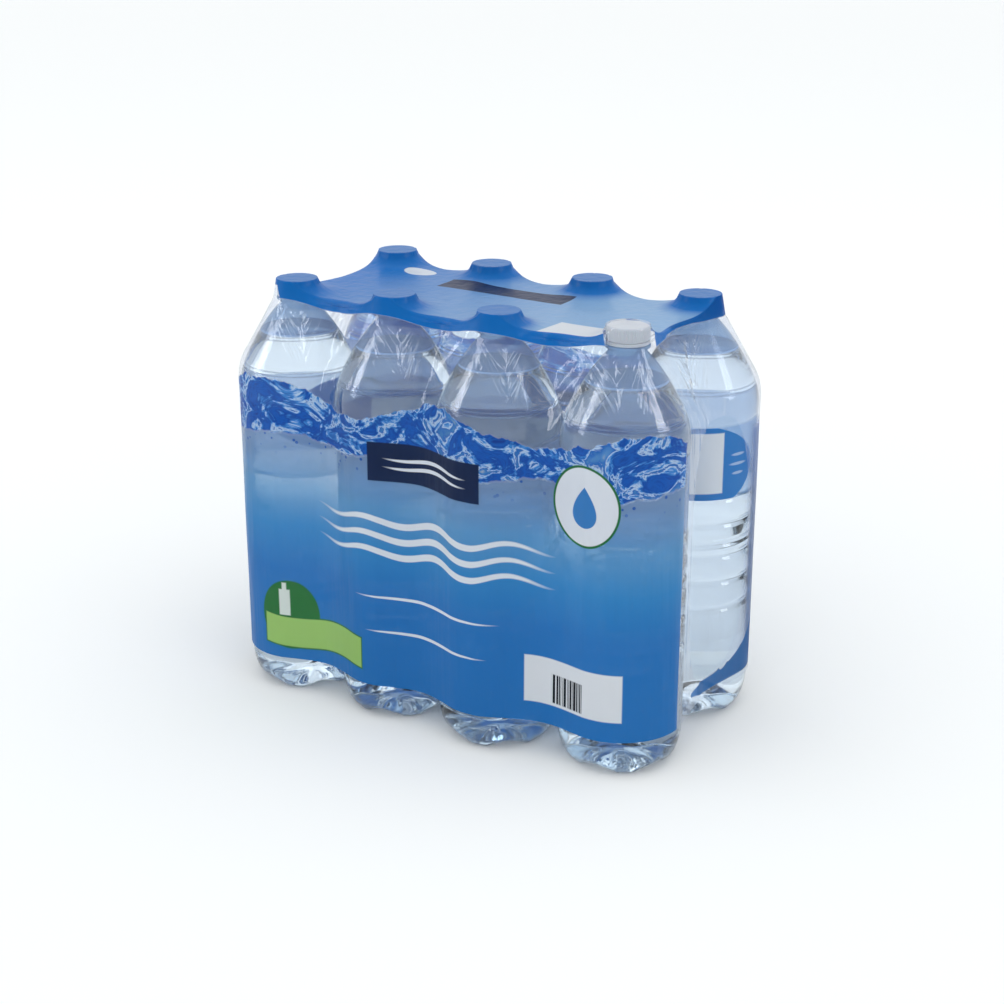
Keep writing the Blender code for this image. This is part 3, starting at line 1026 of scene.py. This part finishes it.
def film_lines(add):
    """The fine upright tension lines of shrunk film, as a height."""
    place = add("TexCoord", {}, {}, "Object")
    upright = add("Mapping", {}, {"Vector": place, "Scale": (1.0, 1.0, 0.10)})
    return add("TexNoise", {}, {"Vector": upright, "Scale": 150.0, "Detail": 1.0})


def film_relief(add, height):
    return add("Bump", {}, {"Strength": 0.6, "Distance": 0.0016, "Height": height})


def film_folds(add):
    """The folds that fan out from the caps over the print: their height, and where painted highlights make their
    sharp crests white.
    """
    x = add("SeparateXYZ", {}, (add("TexCoord", {}, {}, "Object"),), "X")
    y, z = x.node.outputs["Y"], x.node.outputs["Z"]
    round_case = add("Math", "ADD", (x, y))
    away = add("Math", "ADD", (round_case, CAD_BOX[1].y - axis_of(0, 0).x))
    away = add("Math", "WRAP", (away, PITCH / 2, -PITCH / 2))
    down = add("Math", "SUBTRACT", (FAN_TOP, z))
    angle = add("Math", "ARCTAN2", (away, down))
    away = add("Math", "ABSOLUTE", (away,))
    fan = add("CombineXYZ", {}, (angle, round_case, z))
    fan = add("Mapping", {}, {"Vector": fan, "Scale": (8.0, 3.0, 7.0)})
    folds = add("TexNoise", {}, {"Vector": fan, "Scale": 1.6, "Detail": 1.0, "Distortion": 0.5})
    # the folds' sharp crests, where the bare film gets a painted white highlight
    painted_fold_highlight = add("Math", "SUBTRACT", (folds, 0.5))
    painted_fold_highlight = add("Math", "ABSOLUTE", (painted_fold_highlight,))
    painted_fold_highlight = add("MapRange", {}, (painted_fold_highlight, 0.030, 0.0, 0.0, 0.50))
    # none over the print, under the fold, on a bottle's front or in the valley between two
    for place, none, full in (
            (z, BARE_LOW, BARE_LOW + 0.012), (z, BARE_HIGH, BARE_HIGH - 0.005),
            (away, 0.018, 0.036), (away, 0.0448, 0.0415)):
        share = add("MapRange", {}, (place, none, full))
        folds = add("Math", "MULTIPLY", (folds, share))
        painted_fold_highlight = add("Math", "MULTIPLY", (painted_fold_highlight, share))
    return add("Math", "MULTIPLY", (folds, FOLD_HEIGHT)), painted_fold_highlight


def clear_sheet(add, bump):
    """The unprinted film as a shader: see-through, and glossy at a slant."""
    facing = add("LayerWeight", {}, {"Blend": 0.5, "Normal": bump}, "Facing")
    share = thin_gloss(add, facing)
    share = add("Math", "ADD", (share, 0.035))
    through = add("BsdfTransparent", {}, {"Color": "#fcfdff"})
    gloss = add("BsdfGlossy", {}, {"Roughness": 0.07, "Normal": bump})
    return add("MixShader", {}, (share, through, gloss))


def bare_film():
    """LDPE shrink film with no print, the outer face: glossy, see-through, with a light haze and painted white
    highlights along its sharpest folds.
    """
    made, add = new_material("bare_ldpe_film")
    folds, painted_fold_highlight = film_folds(add)
    height = add("Math", "MULTIPLY_ADD", (film_lines(add), LINE_HEIGHT, folds))
    sheet = clear_sheet(add, film_relief(add, height))
    # a light haze all over, and painted white highlights along the sharpest folds
    haze_and_painted_highlight = add("Math", "MAXIMUM", (painted_fold_highlight, 0.08))
    white = add("BsdfDiffuse", {}, {"Color": "#dbe9fa"})
    film = add("MixShader", {}, (haze_and_painted_highlight, sheet, white))
    add("OutputMaterial", {}, {"Surface": film})
    return made


def clear_film():
    """LDPE shrink film with no print, the inner face of the wrap: clear, with its gloss on the outer face."""
    made, add = new_material("clear_ldpe_film")
    sheet = add("BsdfTransparent", {}, {"Color": "#fcfdff"})
    add("OutputMaterial", {}, {"Surface": sheet})
    return made


def ramp(add, share, stops):
    """A colour ramp with its stops, each a place from 0 to 1 and a colour."""
    made = add("ValToRGB", {}, (share,))
    elements = made.node.color_ramp.elements
    while len(elements) < len(stops):
        elements.new(0.5)
    for element, (position, colour) in zip(elements, stops):
        colour = linear(colour) if isinstance(colour, str) else colour
        element.position, element.color = position, (*colour[:3], 1.0)
    return made


def wave_line(add, across, level, swing, length, start, rough, scale):
    """The height of a wavy line at each place along the print."""
    phase = add("Math", "MULTIPLY_ADD", (across, math.tau / length, -start * math.tau / length))
    swell = add("Math", "COSINE", (phase,))
    line = add("Math", "MULTIPLY_ADD", (swell, swing, level))
    jag = add("TexNoise", {"noise_dimensions": "1D"}, {"W": across, "Scale": scale, "Detail": 4.0})
    jag = add("Math", "SUBTRACT", (jag, 0.5))
    return add("Math", "MULTIPLY_ADD", (jag, rough, line))


def below_line(add, height, line, edge):
    """1 below a line and 0 above it."""
    over = add("Math", "SUBTRACT", (height, line))
    return add("MapRange", {}, (over, edge, -edge))


BADGE = (0.1340, 0.2000)
BARS_PER_METRE = 1900.0
STROKES = (  # middle, height, half length, half thickness and rise
    (0.0085, 0.2082, 0.034, 0.0014, 0.0016), (0.0085, 0.2020, 0.034, 0.0014, 0.0016),
    (0.0080, 0.1600, 0.092, 0.0026, 0.0030), (0.0080, 0.1480, 0.092, 0.0026, 0.0030),
    (0.0080, 0.1360, 0.092, 0.0026, 0.0030), (0.0080, 0.1010, 0.056, 0.0012, 0.0),
    (0.0080, 0.0740, 0.048, 0.0012, 0.0),
)


def drop_mask(add, across, height):
    """1 inside a drop: its width grows fast from its foot and runs out in a point."""
    up = add("MapRange", {}, (height, 0.1850, 0.2145))
    width = add("Math", "MULTIPLY", (add("Math", "POWER", (up, 0.5)), add("Math", "SUBTRACT", (1.0, up))))
    width = add("Math", "MULTIPLY_ADD", (width, 0.0260, -0.0004))
    aside = add("Math", "ABSOLUTE", (add("Math", "SUBTRACT", (across, BADGE[0])),))
    return below_line(add, aside, width, 0.0003)


def bars_mask(add, flat, across):
    """1 on upright bars of uneven width that encode nothing."""
    cell = add("Math", "FLOOR", (add("Math", "MULTIPLY", (across, BARS_PER_METRE)),))
    pick = add("TexWhiteNoise", {"noise_dimensions": "1D"}, {"W": cell})
    pick = add("Math", "GREATER_THAN", (pick, 0.45))
    return add("Math", "MULTIPLY", (pick, inside_box(add, flat, (0.1225, 0.0585), (0.0145, 0.0110))))


def foot_mask(add, y, height):
    """1 on the blue that runs under the openings and climbs towards the back."""
    rise = add("Math", "MAXIMUM", (add("Math", "SUBTRACT", (y, 0.024)), 0.0))
    rise = add("Math", "POWER", (rise, 2.0))
    inner = add("Math", "MULTIPLY_ADD", (rise, 11.0, 0.0440))
    outer = add("Math", "MULTIPLY_ADD", (y, -0.33, 0.0365))
    outer = add("Math", "MAXIMUM", (outer, 0.0345))
    inner, outer = (below_line(add, height, line, 0.0005) for line in (inner, outer))
    past_left = add("Math", "GREATER_THAN", (y, -0.0140))
    return add("Math", "MULTIPLY", (add("Math", "SUBTRACT", (inner, outer)), past_left))


def cap_blue_mask(add, x, seen, height, level):
    """1 over the caps and down past the fold, but for the cap of the slipped bottle and its corner."""
    row_phase = add("Math", "MULTIPLY_ADD", (x, math.tau / PITCH, 0.0468 * math.tau / PITCH))
    band_low = add("Math", "COSINE", (row_phase,))
    band_low = add("Math", "MULTIPLY_ADD", (band_low, 0.0032, 0.3012))
    left = add("Math", "SUBTRACT", (-0.1390, x))
    left = add("Math", "MINIMUM", (add("Math", "MAXIMUM", (left, 0.0)), 0.0045))
    band_low = add("Math", "MULTIPLY_ADD", (left, 2.0, band_low))
    on_top = add("Math", "SUBTRACT", (1.0, below_line(add, height, band_low, 0.0004)))
    on_top = add("Math", "MAXIMUM", (on_top, level))
    last_cap = AXES["front_4"]
    off_cap = inside_oval(add, seen, (last_cap.x + 0.002, last_cap.y - 0.002), (0.0175, 0.0175))
    off_corner = inside_box(add, seen, (last_cap.x + 0.030, last_cap.y - 0.010), (0.0330, 0.0190))
    off = add("Math", "MAXIMUM", (off_cap, off_corner))
    return add("Math", "MULTIPLY", (on_top, add("Math", "SUBTRACT", (1.0, off))))


def canopy_blue_and_painted_sheen(add, settings, x, height, level):
    """The blue of the top with a painted sheen: paler towards +X where it sags, and a little paler on each cap.
    """
    # painted sheen: growing towards +X in the sags, and a little on each cap's disc
    along = add("MapRange", {}, (x, -0.130, 0.075))
    sunk = add("MapRange", {}, (height, CASE_TOP - 0.0080, CASE_TOP - 0.0108))
    along = add("Math", "MULTIPLY", (along, sunk))
    disc_sheen = add("MapRange", {}, (height, CASE_TOP - 0.0008, CASE_TOP - 0.0003, 0.0, 0.22))
    along = add("Math", "MAXIMUM", (along, disc_sheen))
    along = add("Math", "MULTIPLY", (along, level))
    return add("Mix", {"data_type": "RGBA"}, {0: along, 6: (*settings.top_blue, 1.0), 7: "#8cb5dd"}, 2)


def printed_film(settings):
    """LDPE shrink film, flexo printed: glossy ink that goes from opaque blue to a thin mist over clear film."""
    made, add = new_material("printed_ldpe_film")
    bump = film_relief(add, add("Math", "MULTIPLY", (film_lines(add), LINE_HEIGHT)))
    flat = add("UVMap", {"uv_map": "Print"}, {})
    across = add("SeparateXYZ", {}, (flat,), "X")
    height = across.node.outputs["Y"]
    x = add("SeparateXYZ", {}, (add("TexCoord", {}, {}, "Object"),), "X")
    y = x.node.outputs["Y"]
    moss, leaf = (*settings.moss, 1.0), (*settings.leaf, 1.0)
    layers = ("#e8ecf4", 0.02)

    def lay(colour, cover, mask):
        """Prints one more layer."""
        nonlocal layers
        layers = print_layer(add, layers, colour, cover, mask)

    # The field: deep blue at the hem, thinning to mist below the waves, and paler on the back
    field_colour = ramp(add, add("MapRange", {}, (height, 0.030, 0.205)), (
        (0.0, settings.deep_blue), (0.42, settings.deep_blue), (0.62, "#3a8fd0"), (0.80, "#62a3d6"),
        (1.0, settings.mist)))
    field_cover = add("MapRange", {"interpolation_type": "SMOOTHSTEP"}, (height, 0.140, 0.218, 0.97, 0.50))
    at_back = add("Math", "GREATER_THAN", (y, 0.0))
    paler = add("MapRange", {}, (height, 0.100, 0.150, 0.0, -0.32))
    paler = add("Math", "MULTIPLY_ADD", (at_back, paler, 1.0))
    field_cover = add("Math", "MULTIPLY", (field_cover, paler))
    wave_top = wave_line(add, across, 0.2430, 0.0090, 0.157, 0.020, 0.012, 60.0)
    wave_low = wave_line(add, across, 0.2080, 0.0030, 0.110, -0.015, 0.010, 45.0)
    under_top = below_line(add, height, wave_top, 0.0005)
    under_low = below_line(add, height, wave_low, 0.0012)
    lay(field_colour, field_cover, under_low)

    # The waves: dark troughs, mid blue, and thin bright crests, with spray under them
    stretch = add("Mapping", {}, {"Vector": flat, "Scale": (0.75, 1.0, 1.0)})
    swirl = add("TexNoise", {}, {
        "Vector": stretch, "Scale": 46.0, "Detail": 6.0, "Roughness": 0.6, "Distortion": 2.2})
    wave_colour = ramp(add, swirl, (
        (0.28, "#0c3f98"), (0.40, "#1763c2"), (0.47, "#0f4aa8"), (0.52, "#3f8fdc"), (0.565, "#c9e0f5"),
        (0.60, "#1d66bf"), (0.68, "#4d98dd"), (0.76, "#e6f1fa")))
    waves = add("Math", "SUBTRACT", (under_top, under_low))
    lay(wave_colour, add("MapRange", {}, (swirl, 0.60, 0.75, 0.95, 0.45)), waves)
    spray = add("TexVoronoi", {}, {"Vector": flat, "Scale": 170.0})
    spray = add("MapRange", {}, (spray, 0.24, 0.17))
    near = below_line(add, height, add("Math", "SUBTRACT", (wave_low, 0.011)), 0.0060)
    near = add("Math", "SUBTRACT", (under_low, near))
    lay("#2458a6", 0.8, add("Math", "MULTIPLY", (spray, near)))

    # White strokes and a navy banner in the middle of the side
    lay("#14284e", 0.97, inside_box(add, flat, (0.0085, 0.2050), (0.0480, 0.0145)))
    swell = add("Math", "SINE", (add("Math", "MULTIPLY", (across, math.tau / 0.060)),))
    for middle, level, half, thick, rise in STROKES:
        bent = add("CombineXYZ", {}, (across, add("Math", "MULTIPLY_ADD", (swell, -rise, height))))
        lay("#f0f5fb", 0.97, inside_oval(add, bent, (middle, level), (half, thick), 0.12))

    # The green dome with its bottle sign and its ribbon, low on the left
    lay(moss, 0.98, inside_oval(add, flat, (-0.1200, 0.0660), (0.0235, 0.0280)))
    lay("#e6efe6", 0.98, inside_box(add, flat, (-0.1240, 0.0760), (0.0042, 0.0105)))
    lay("#e6efe6", 0.98, inside_box(add, flat, (-0.1240, 0.0880), (0.0017, 0.0040)))
    ribbon_middle = wave_line(add, across, 0.0535, 0.0018, 0.090, -0.070, 0.0, 1.0)
    along_ribbon = add("CombineXYZ", {}, (across, add("Math", "SUBTRACT", (height, ribbon_middle))))
    lay(moss, 0.98, inside_box(add, along_ribbon, (-0.0950, 0.0), (0.0468, 0.0130)))
    lay(leaf, 0.98, inside_box(add, along_ribbon, (-0.0950, 0.0), (0.0458, 0.0119)))

    # The oval badge with its drop, and the white label with its bars, both on the right
    lay("#2a7440", 0.98, inside_oval(add, flat, BADGE, (0.0264, 0.0290), 0.01))
    lay("#eef2f6", 0.98, inside_oval(add, flat, BADGE, (0.0247, 0.0273), 0.01))
    lay("#3f86c9", 0.98, drop_mask(add, across, height))
    lay("#eff2f5", 0.99, inside_box(add, flat, (0.1255, 0.0630), (0.0385, 0.0178)))
    lay("#20242c", 0.99, bars_mask(add, flat, across))

    # Nothing is printed past the side's edge, but for a rim of blue and the blue under the openings
    inwards = add("Math", "ABSOLUTE", (add("Math", "MULTIPLY_ADD", (at_back, -BACK_SHIFT, across)),))
    narrower = add("Math", "MULTIPLY_ADD", (at_back, BACK_SHIFT, inwards))
    inside_print = add("MapRange", {}, (narrower, PRINT_EDGE + 0.0008, PRINT_EDGE - 0.0008))
    lay("#dfe3f2", 0.07, add("Math", "SUBTRACT", (1.0, inside_print)))
    at_end = add("Math", "GREATER_THAN", (add("Math", "ABSOLUTE", (x,)), 0.140))
    seen_from_end = add("CombineXYZ", {}, (y, height))
    side_rim = inside_box(add, seen_from_end, (0.0800, 0.1350), (0.0170, 0.0900), 0.0030)
    lay("#86a0d0", 0.72, add("Math", "MULTIPLY", (side_rim, at_end)))
    lay((*settings.deep_blue, 1.0), 0.93, add("Math", "MULTIPLY", (foot_mask(add, y, height), at_end)))

    # The blue over the caps and down past the fold, with a white patch, a banner and a badge on it
    level = add("Attribute", {"attribute_name": "canopy"}, {}, "Fac")
    seen_from_top = add("CombineXYZ", {}, (x, y))
    blue_top = cap_blue_mask(add, x, seen_from_top, height, level)
    # the top's blue carries a painted sheen, paler towards +X in the sags and on each cap
    lay(canopy_blue_and_painted_sheen(add, settings, x, height, level), 0.97, blue_top)
    patch = inside_box(add, seen_from_top, (0.1010, -0.0560), (0.0270, 0.0270))
    banner = inside_box(add, seen_from_top, (-0.0095, 0.0250), (0.0550, 0.0110))
    badge = inside_oval(add, seen_from_top, (-0.1020, 0.0440), (0.0140, 0.0090), 0.03)
    patch = add("Math", "MULTIPLY", (patch, level))
    for mask, colour in ((patch, "#e6eaee"), (banner, "#1a2d55"), (badge, "#dfe6ee")):
        lay(colour, 0.98, add("Math", "MULTIPLY", (mask, blue_top)))

    colour, cover = layers
    ink = add("BsdfPrincipled", {}, {
        "Base Color": colour, "Roughness": 0.30, "IOR": 1.5, "Specular IOR Level": 0.10, "Normal": bump,
        "Coat Weight": 0.04, "Coat Roughness": 0.18, "Coat IOR": 1.5})
    glow = add("BsdfTranslucent", {}, {"Color": colour})
    back_wall = add("Math", "MAXIMUM", (add("Math", "SUBTRACT", (at_back, level)), 0.0))
    thin = add("Math", "MULTIPLY_ADD", (back_wall, 0.33, 0.32))  # more light comes through the back
    ink = add("MixShader", {}, (thin, ink, glow))
    add("OutputMaterial", {}, {"Surface": add("MixShader", {}, (cover, clear_sheet(add, bump), ink))})
    return made


def studio_paper(settings):
    """Matt white studio paper: an even pale floor that takes soft shadows."""
    made, add = new_material("matt_studio_paper")
    paper = add("BsdfDiffuse", {}, {"Color": (*settings.floor, 1.0), "Roughness": 1.0})
    add("OutputMaterial", {}, {"Surface": paper})
    return made


# ------------------------------------------------------------------------------------- stage

CAMERA_TARGET = Vector((-0.0110, 0.0223, 0.1418))
CAMERA_TURN, CAMERA_RISE, CAMERA_DISTANCE = math.radians(34.158), math.radians(19.536), 1.4176
FOCAL_LENGTH, SENSOR = 66.221, 36.0


class CASE_OT_stage(bpy.types.Operator):
    """Sets the pale floor, the soft light from all round and the camera"""

    bl_idname = "case.stage"
    bl_label = "Stage"

    def execute(self, context):
        settings = context.scene.case_stage
        scene = context.scene
        bpy.ops.object.select_all(action="DESELECT")
        bpy.ops.mesh.primitive_circle_add(
            vertices=96, radius=settings.floor_radius, fill_type="NGON", location=(0, 0, FLOOR_Z))
        floor = bpy.context.object
        floor.name = floor.data.name = "studio_floor"
        floor.data.materials.append(studio_paper(settings))

        world = bpy.data.worlds.new("soft_studio")
        world.use_nodes = True
        world.node_tree.nodes.clear()
        add = partial(add_node, world.node_tree)
        towards = add("TexCoord", {}, {}, "Generated")
        towards = add("VectorMath", "DOT_PRODUCT", (towards, Vector((-0.25, 0.60, 0.70)).normalized()), "Value")
        strength = add("MapRange", {}, (towards, -1.0, 1.0, 0.80 * settings.light, 1.15 * settings.light))
        sky = add("Background", {}, {"Color": "#fdfeff", "Strength": strength})
        add("OutputWorld", {}, {"Surface": sky})
        scene.world = world
        for name, place, size, power in (
            ("strip_left", (-1.5, -1.1, 1.1), (0.55, 1.5), 11.0),
            ("strip_right", (1.7, 0.3, 1.2), (0.50, 1.5), 10.0),
            ("softbox_top", (-0.2, 0.5, 2.2), (2.6, 2.0), 6.0),
        ):
            light = bpy.data.objects.new(name, bpy.data.lights.new(name, "AREA"))
            scene.collection.objects.link(light)
            light.data.shape = "RECTANGLE"
            light.data.size, light.data.size_y = size
            light.data.energy = power * settings.light
            light.visible_diffuse = name == "softbox_top"  # the strips only give highlights
            light.location = place
            light.rotation_euler = (Vector((0, 0, 0.15)) - light.location).to_track_quat("-Z", "Y").to_euler()

        camera = bpy.data.objects.new("camera", bpy.data.cameras.new("camera"))
        scene.collection.objects.link(camera)
        back = Vector((
            math.sin(CAMERA_TURN) * math.cos(CAMERA_RISE), -math.cos(CAMERA_TURN) * math.cos(CAMERA_RISE),
            math.sin(CAMERA_RISE)))
        camera.location = CAMERA_TARGET + back * CAMERA_DISTANCE
        camera.rotation_euler = (-back).to_track_quat("-Z", "Y").to_euler()
        camera.data.sensor_width = SENSOR
        camera.data.lens = FOCAL_LENGTH
        camera.data.clip_end = 100.0
        scene.camera = camera
        scene.view_settings.view_transform = "Standard"
        scene.cycles.max_bounces = 8
        scene.cycles.transmission_bounces = 8
        scene.cycles.transparent_max_bounces = 26
        return {"FINISHED"}


# ------------------------------------------------------------------------------------- panel

GROUPS = (
    ("case_bottle", BottleSettings), ("case_label", LabelSettings), ("case_cap", CapSettings),
    ("case_wrap", WrapSettings), ("case_stage", StageSettings),
)
STEPS = (
    (CASE_OT_bottles, "case_bottle"), (CASE_OT_water, "case_bottle"), (CASE_OT_labels, "case_label"),
    (CASE_OT_caps, "case_cap"), (CASE_OT_wrap, "case_wrap"), (CASE_OT_stage, "case_stage"),
)


class CASE_PT_panel(bpy.types.Panel):
    """Lists the case's sizes and colours, and the steps that model it"""

    bl_idname = "CASE_PT_panel"
    bl_label = "Bottle case"
    bl_space_type = "VIEW_3D"
    bl_region_type = "UI"
    bl_category = "Bottle case"

    def draw(self, context):
        shown = set()
        for step, group in STEPS:
            box = self.layout.box()
            if group not in shown:
                settings = getattr(context.scene, group)
                for name in settings.__annotations__:
                    box.prop(settings, name)
                shown.add(group)
            box.operator(step.bl_idname)


CLASSES = (*[kind for _, kind in GROUPS], *[step for step, _ in STEPS], CASE_PT_panel)


def register():
    for kind in CLASSES:
        bpy.utils.register_class(kind)
    for name, kind in GROUPS:
        setattr(bpy.types.Scene, name, PointerProperty(type=kind))


def unregister():
    for name, _ in GROUPS:
        delattr(bpy.types.Scene, name)
    for kind in reversed(CLASSES):
        bpy.utils.unregister_class(kind)


def main():
    register()
    bpy.ops.case.bottles()
    bpy.ops.case.water()
    bpy.ops.case.labels()
    bpy.ops.case.caps()
    bpy.ops.case.wrap()
    bpy.ops.case.stage()


if __name__ == "__main__":
    main()
